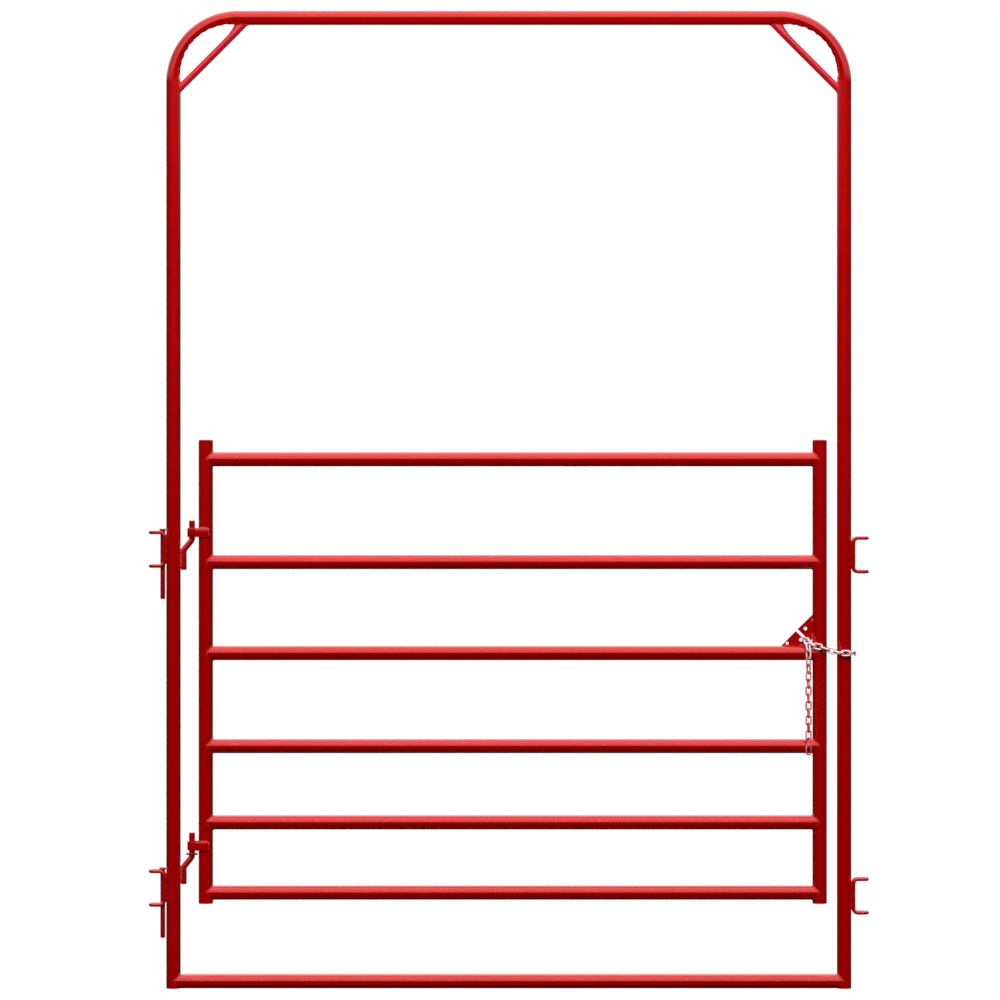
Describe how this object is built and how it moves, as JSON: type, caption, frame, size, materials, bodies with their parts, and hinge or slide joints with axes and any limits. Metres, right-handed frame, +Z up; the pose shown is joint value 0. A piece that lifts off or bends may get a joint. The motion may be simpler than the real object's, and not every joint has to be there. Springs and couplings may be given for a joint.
{
  "type": "livestock panel gate",
  "caption": "Walk-through panel gate: a tall tube bow holds a railed leaf that swings on two hinge pins and is shut by a chain dropped into a slotted plate.",
  "frame": {"origin": "on the ground, midway between the two frame posts", "axes": "+Z up, +X along the fence from the hinge side to the latch side, +Y through the gate, away from the side that carries the chain's free tail"},
  "size_m": [1.9228, 0.0776, 2.61],
  "materials": {
    "enamel": "glossy red enamel over welded steel, slight orange peel, thin at weld edges",
    "zinc": "bright zinc-plated chain with red overspray where links lie against painted steel"
  },
  "bodies": {
    "frame": {"frame_bow": "enamel", "bottom_rail": "enamel", "corner_brace_left": "enamel", "corner_brace_right": "enamel", "hinge_pin_upper": "enamel", "hinge_pin_lower": "enamel", "hinge_washer": "enamel", "bracket_left_upper": "enamel", "bracket_left_lower": "enamel", "bracket_right_upper": "enamel", "bracket_right_lower": "enamel"},
    "drop_pin_upper": {"drop_pin_upper": "enamel"},
    "drop_pin_lower": {"drop_pin_lower": "enamel"},
    "leaf": {"hinge_post": "enamel", "latch_post": "enamel", "gate_rail_1": "enamel", "gate_rail_2": "enamel", "gate_rail_3": "enamel", "gate_rail_4": "enamel", "gate_rail_5": "enamel", "gate_rail_6": "enamel", "post_cap_hinge": "enamel", "post_cap_latch": "enamel", "hinge_strap_upper": "enamel", "hinge_strap_lower": "enamel", "latch_plate": "enamel", "chain_anchor": "zinc", "chain_slot_link": "zinc", "chain_loop_link_01": "zinc", "chain_loop_link_02": "zinc", "chain_loop_link_03": "zinc", "chain_loop_link_04": "zinc", "chain_loop_link_05": "zinc", "chain_loop_link_06": "zinc", "chain_loop_link_07": "zinc", "chain_loop_link_08": "zinc", "chain_loop_link_09": "zinc", "chain_loop_link_10": "zinc", "chain_loop_link_11": "zinc", "chain_loop_link_12": "zinc", "chain_loop_link_13": "zinc", "chain_loop_link_14": "zinc", "chain_loop_link_15": "zinc", "chain_loop_link_16": "zinc", "chain_tail_link_01": "zinc", "chain_tail_link_02": "zinc", "chain_tail_link_03": "zinc"},
    "chain_tail_upper": {"chain_tail_link_04": "zinc", "chain_tail_link_05": "zinc", "chain_tail_link_06": "zinc", "chain_tail_link_07": "zinc"},
    "chain_tail_middle": {"chain_tail_link_08": "zinc", "chain_tail_link_09": "zinc", "chain_tail_link_10": "zinc", "chain_tail_link_11": "zinc"},
    "chain_tail_lower": {"chain_tail_link_12": "zinc", "chain_tail_link_13": "zinc", "chain_tail_link_14": "zinc", "chain_tail_link_15": "zinc", "chain_tail_link_16": "zinc"}
  },
  "joints": [
    {"name": "leaf_swing", "type": "hinge", "parent": "frame", "child": "leaf", "pos_m": [-0.84585, 0, 0.8], "axis": [0, 0, 1], "range_deg": [-110, 110], "deforming": ["chain_loop_link_01", "chain_loop_link_02", "chain_loop_link_03", "chain_loop_link_04", "chain_loop_link_05", "chain_loop_link_06", "chain_loop_link_07", "chain_loop_link_08", "chain_loop_link_09", "chain_loop_link_10", "chain_loop_link_11", "chain_loop_link_12", "chain_loop_link_13", "chain_loop_link_14", "chain_loop_link_15", "chain_loop_link_16"]},
    {"name": "drop_pin_upper_slide", "type": "slide", "parent": "frame", "child": "drop_pin_upper", "axis": [0, 0, 1], "range_m": [0, 0.19]},
    {"name": "drop_pin_lower_slide", "type": "slide", "parent": "frame", "child": "drop_pin_lower", "axis": [0, 0, 1], "range_m": [0, 0.19]},
    {"name": "chain_swing_upper", "type": "hinge", "parent": "leaf", "child": "chain_tail_upper", "pos_m": [0.79835, -0.02951, 0.88322], "axis": [0, 1, 0], "range_deg": [-30, 30]},
    {"name": "chain_swing_middle", "type": "hinge", "parent": "chain_tail_upper", "child": "chain_tail_middle", "pos_m": [0.79835, -0.0295, 0.80474], "axis": [0, 1, 0], "range_deg": [-30, 30]},
    {"name": "chain_swing_lower", "type": "hinge", "parent": "chain_tail_middle", "child": "chain_tail_lower", "pos_m": [0.79835, -0.0295, 0.72634], "axis": [0, 1, 0], "range_deg": [-30, 30]}
  ]
}
